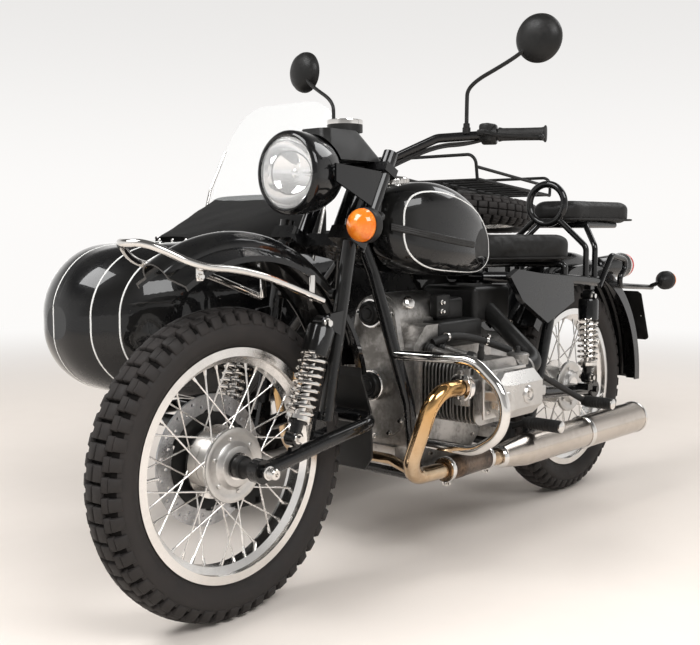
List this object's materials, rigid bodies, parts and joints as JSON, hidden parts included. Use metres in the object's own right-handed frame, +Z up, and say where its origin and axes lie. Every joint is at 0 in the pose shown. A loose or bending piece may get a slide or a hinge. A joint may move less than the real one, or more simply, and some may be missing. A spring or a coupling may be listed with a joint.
{
  "type": "sidecar motorcycle",
  "caption": "Flat-twin motorcycle with a leading-link fork, solo saddles and a boat-shaped sidecar on its right with windscreen, apron, spare wheel and luggage rack.",
  "frame": {"origin": "on the floor under the middle of the overall box", "axes": "+X forward along the wheels, +Y to the rider's left, +Z up"},
  "size_m": [2.5219, 1.6557, 1.353],
  "materials": {
    "black_paint": "gloss",
    "satin_black": "satin",
    "cast_aluminium": "cast",
    "polished_aluminium": "polished",
    "bright_steel": "polished",
    "steel": "satin",
    "tyre": "matt",
    "rubber": "matt",
    "vinyl": "soft sheen",
    "canvas": "matt",
    "clear": "clear",
    "lamp_glass": "clear",
    "amber": "gloss",
    "red": "gloss",
    "white_plate": "satin"
  },
  "bodies": {
    "chassis": {"frame": "black_paint", "crankcase": "cast_aluminium", "gearbox": "cast_aluminium", "cylinders": "cast_aluminium", "valve_covers": "polished_aluminium", "intake": "satin_black", "exhaust_headers": "bright_steel", "mufflers": "bright_steel", "crash_bar": "bright_steel", "fuel_tank": "black_paint", "rider_saddle": "vinyl", "passenger_saddle": "vinyl", "saddle_mounts": "black_paint", "rear_fender": "black_paint", "rear_lamps": "red", "number_plate": "white_plate", "tail_rails": "black_paint", "side_panels": "black_paint", "swingarm": "black_paint", "rear_shocks": "steel", "final_drive": "cast_aluminium", "footrests": "rubber", "pedals": "steel", "sidecar_body": "black_paint", "sidecar_tail": "black_paint", "sidecar_cross_tubes": "black_paint", "sidecar_seat": "vinyl", "tonneau": "canvas", "windshield": "clear", "screen_posts": "bright_steel", "sidecar_frame": "black_paint", "sidecar_arm": "black_paint", "sidecar_shock": "steel", "sidecar_fender": "black_paint", "sidecar_lamps": "amber"},
    "steering": {"fork": "black_paint", "leading_link": "black_paint", "front_shocks": "steel", "brake_caliper": "steel", "front_fender": "black_paint", "front_mudflap": "rubber", "fender_rail": "bright_steel", "headlamp": "black_paint", "headlamp_lens": "lamp_glass", "instrument_pod": "satin_black", "handlebar": "black_paint", "hand_controls": "satin_black", "mirrors": "satin_black", "front_signal": "amber"},
    "front_wheel": {"front_tyre": "tyre", "front_wheel": "polished_aluminium", "brake_disc": "steel"},
    "rear_wheel": {"rear_tyre": "tyre", "rear_wheel": "polished_aluminium"},
    "sidecar_wheel": {"sidecar_tyre": "tyre", "sidecar_wheel": "polished_aluminium"},
    "trunk_lid": {"trunk_lid": "black_paint", "spare_tyre": "tyre", "spare_wheel": "polished_aluminium", "luggage_rack": "satin_black"}
  },
  "joints": [
    {"name": "steering", "type": "hinge", "parent": "chassis", "child": "steering", "pos_m": [0.97896, 0.389, 0], "axis": [-0.4695, 0, 0.8829], "range_deg": [-35, 35]},
    {"name": "front_wheel_spin", "type": "hinge", "parent": "steering", "child": "front_wheel", "pos_m": [0.91896, 0.389, 0.342], "axis": [0, 1, 0], "continuous": true},
    {"name": "rear_wheel_spin", "type": "hinge", "parent": "chassis", "child": "rear_wheel", "pos_m": [-0.56104, 0.389, 0.342], "axis": [0, 1, 0], "continuous": true},
    {"name": "sidecar_wheel_spin", "type": "hinge", "parent": "chassis", "child": "sidecar_wheel", "pos_m": [-0.32104, -0.751, 0.342], "axis": [0, 1, 0], "continuous": true},
    {"name": "trunk_lid_hinge", "type": "hinge", "parent": "chassis", "child": "trunk_lid", "pos_m": [-0.66904, -0.301, 0.864], "axis": [0, 1, 0], "range_deg": [0, 30]}
  ]
}
